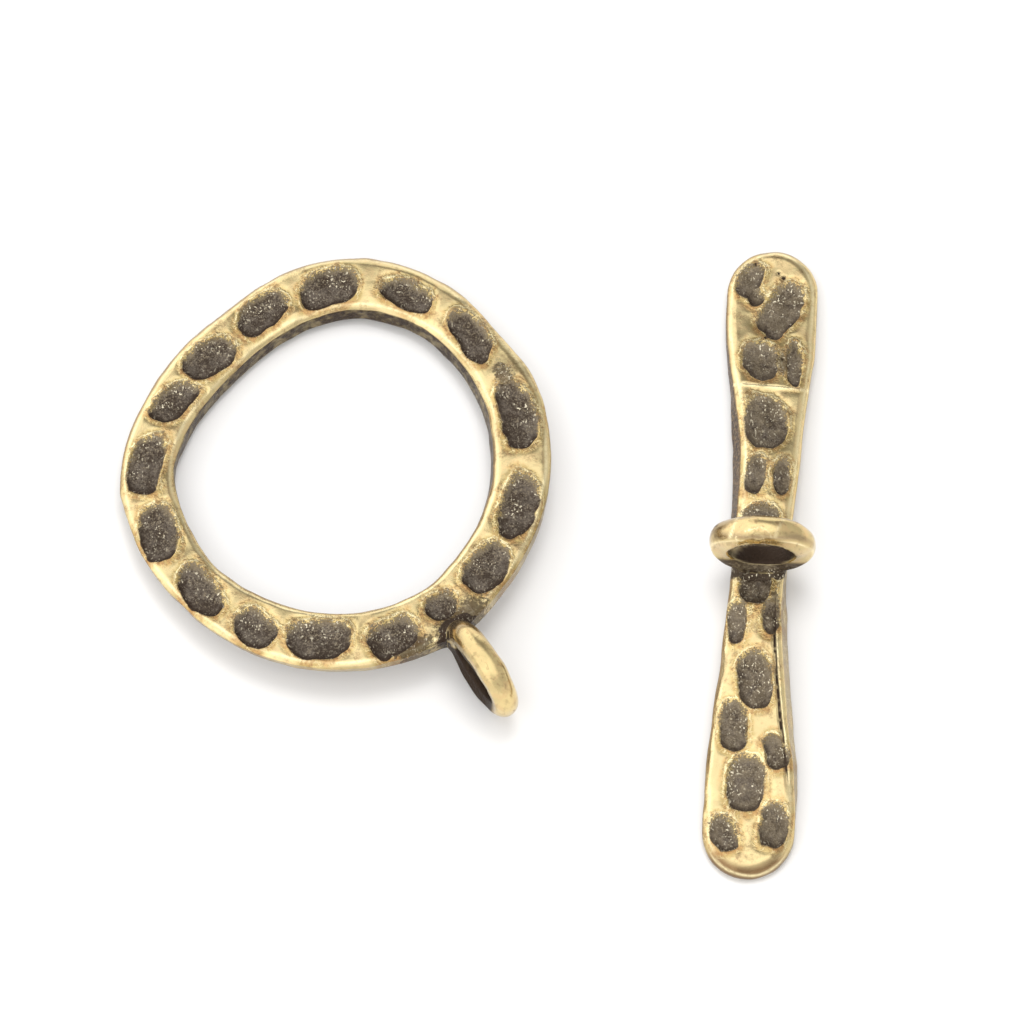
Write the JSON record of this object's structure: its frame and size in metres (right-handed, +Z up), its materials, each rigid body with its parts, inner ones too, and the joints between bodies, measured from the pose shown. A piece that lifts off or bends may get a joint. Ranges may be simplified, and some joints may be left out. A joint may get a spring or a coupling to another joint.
{
  "type": "toggle clasp",
  "caption": "Toggle clasp for a necklace or bracelet: a hammered antique brass ring and a hammered T-bar, each with its own eye.",
  "frame": {"origin": "on the ground under the middle of the box around both pieces, as they lie beside each other", "axes": "+Z up from the ground, +Y along the bar towards its far end, +X from the ring towards the bar"},
  "size_m": [0.029, 0.0278, 0.0055],
  "materials": {
    "ring_metal": "hammered and patinated",
    "bar_metal": "hammered and patinated"
  },
  "bodies": {
    "root": {"toggle_ring": "ring_metal", "toggle_bar": "bar_metal"}
  },
  "joints": []
}
